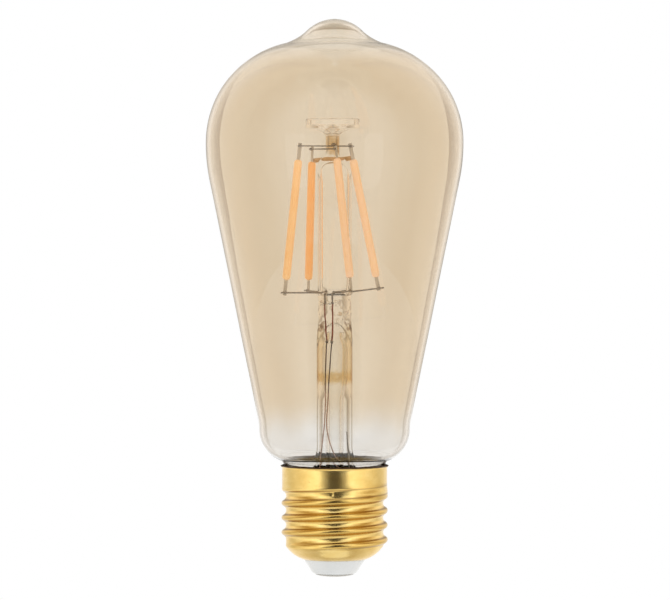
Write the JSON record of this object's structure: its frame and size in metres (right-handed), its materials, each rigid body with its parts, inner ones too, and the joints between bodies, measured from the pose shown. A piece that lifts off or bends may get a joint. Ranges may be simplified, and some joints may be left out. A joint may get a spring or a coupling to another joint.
{
  "type": "smart LED filament lamp",
  "caption": "Amber pear-shaped glass lamp with upright LED filaments on a glass mount, a brass Edison screw cap and a radio driver inside the cap.",
  "frame": {"origin": "middle of the centre contact's lower face, on the lamp's axis", "axes": "+Z along the lamp's axis from the contact to the tip of the glass; -Y is the lamp's front, where two filaments stand nearest the viewer"},
  "size_m": [0.064, 0.064, 0.1384],
  "materials": {
    "amber_glass": "clear soda-lime glass with a thin amber coating, fading to clear over the cap",
    "mount_glass": "clear lead-free stem glass, fire polished",
    "phosphor": "silicone with yellow-orange phosphor, satin",
    "strip_ceramic": "white alumina strip",
    "led_chip": "sapphire LED chip with gold pads",
    "tinned_tab": "tinned steel, bright",
    "nickel_wire": "drawn nickel-plated wire, dulled by heat",
    "nickel_ribbon": "rolled nickel-iron ribbon",
    "sealing_wire": "copper-clad sealing wire, reddish in the glass",
    "copper_wire": "bare copper wire",
    "polished_brass": "brass-plated sheet, polished",
    "cement": "dark brown basing cement",
    "white_insulator": "white heat-proof insulator, smooth",
    "contact_metal": "pressed contact plate, nickel-plated",
    "solder": "tin solder, bright",
    "circuit_board": "green solder mask on glass-fibre board",
    "radio_board": "blue solder mask on glass-fibre board",
    "black_epoxy": "moulded black epoxy",
    "capacitor_sleeve": "shrink sleeve on an aluminium can",
    "ferrite": "dark grey ferrite",
    "copper_winding": "enamelled copper winding",
    "resistor_coating": "flameproof green coating",
    "tinned_wire": "tinned copper wire",
    "chip_ceramic": "ceramic chip parts with tinned ends",
    "tin_can": "tinned steel shield can",
    "enamelled_wire": "sleeved antenna wire",
    "red_wire": "red insulated wire",
    "blue_wire": "blue insulated wire",
    "sleeve_film": "translucent insulating film"
  },
  "bodies": {
    "root": {"glass_envelope": "amber_glass", "stem_flare": "mount_glass", "stem_press": "mount_glass", "exhaust_tube": "mount_glass", "column_tube": "mount_glass", "column_head": "mount_glass", "filament_coating_1": "phosphor", "filament_coating_2": "phosphor", "filament_coating_3": "phosphor", "filament_coating_4": "phosphor", "filament_strip_1": "strip_ceramic", "filament_strip_2": "strip_ceramic", "filament_strip_3": "strip_ceramic", "filament_strip_4": "strip_ceramic", "filament_chips_1": "led_chip", "filament_chips_2": "led_chip", "filament_chips_3": "led_chip", "filament_chips_4": "led_chip", "filament_tabs_1": "tinned_tab", "filament_tabs_2": "tinned_tab", "filament_tabs_3": "tinned_tab", "filament_tabs_4": "tinned_tab", "top_wire_left_right": "nickel_wire", "top_wire_front_back": "nickel_wire", "top_ribbon": "nickel_ribbon", "lead_wire_left": "nickel_wire", "lead_wire_right": "nickel_wire", "arm_wire_left": "nickel_wire", "arm_wire_right": "nickel_wire", "seal_wires": "sealing_wire", "lead_knots": "nickel_wire", "outer_lead_left": "copper_wire", "outer_lead_right": "copper_wire", "screw_shell": "polished_brass", "cap_cement": "cement", "base_insulator": "white_insulator", "centre_contact": "contact_metal", "contact_solder": "solder", "driver_board": "circuit_board", "bridge_rectifier": "black_epoxy", "driver_chip": "black_epoxy", "bulk_capacitor": "capacitor_sleeve", "capacitor_legs": "tinned_wire", "inductor_core": "ferrite", "inductor_winding": "copper_winding", "fuse_resistor": "resistor_coating", "fuse_lead": "tinned_wire", "chip_parts": "chip_ceramic", "radio_board": "radio_board", "radio_shield": "tin_can", "antenna_wire": "enamelled_wire", "live_wire": "red_wire", "neutral_wire": "blue_wire", "board_solder": "solder", "driver_sleeve": "sleeve_film"}
  },
  "joints": []
}
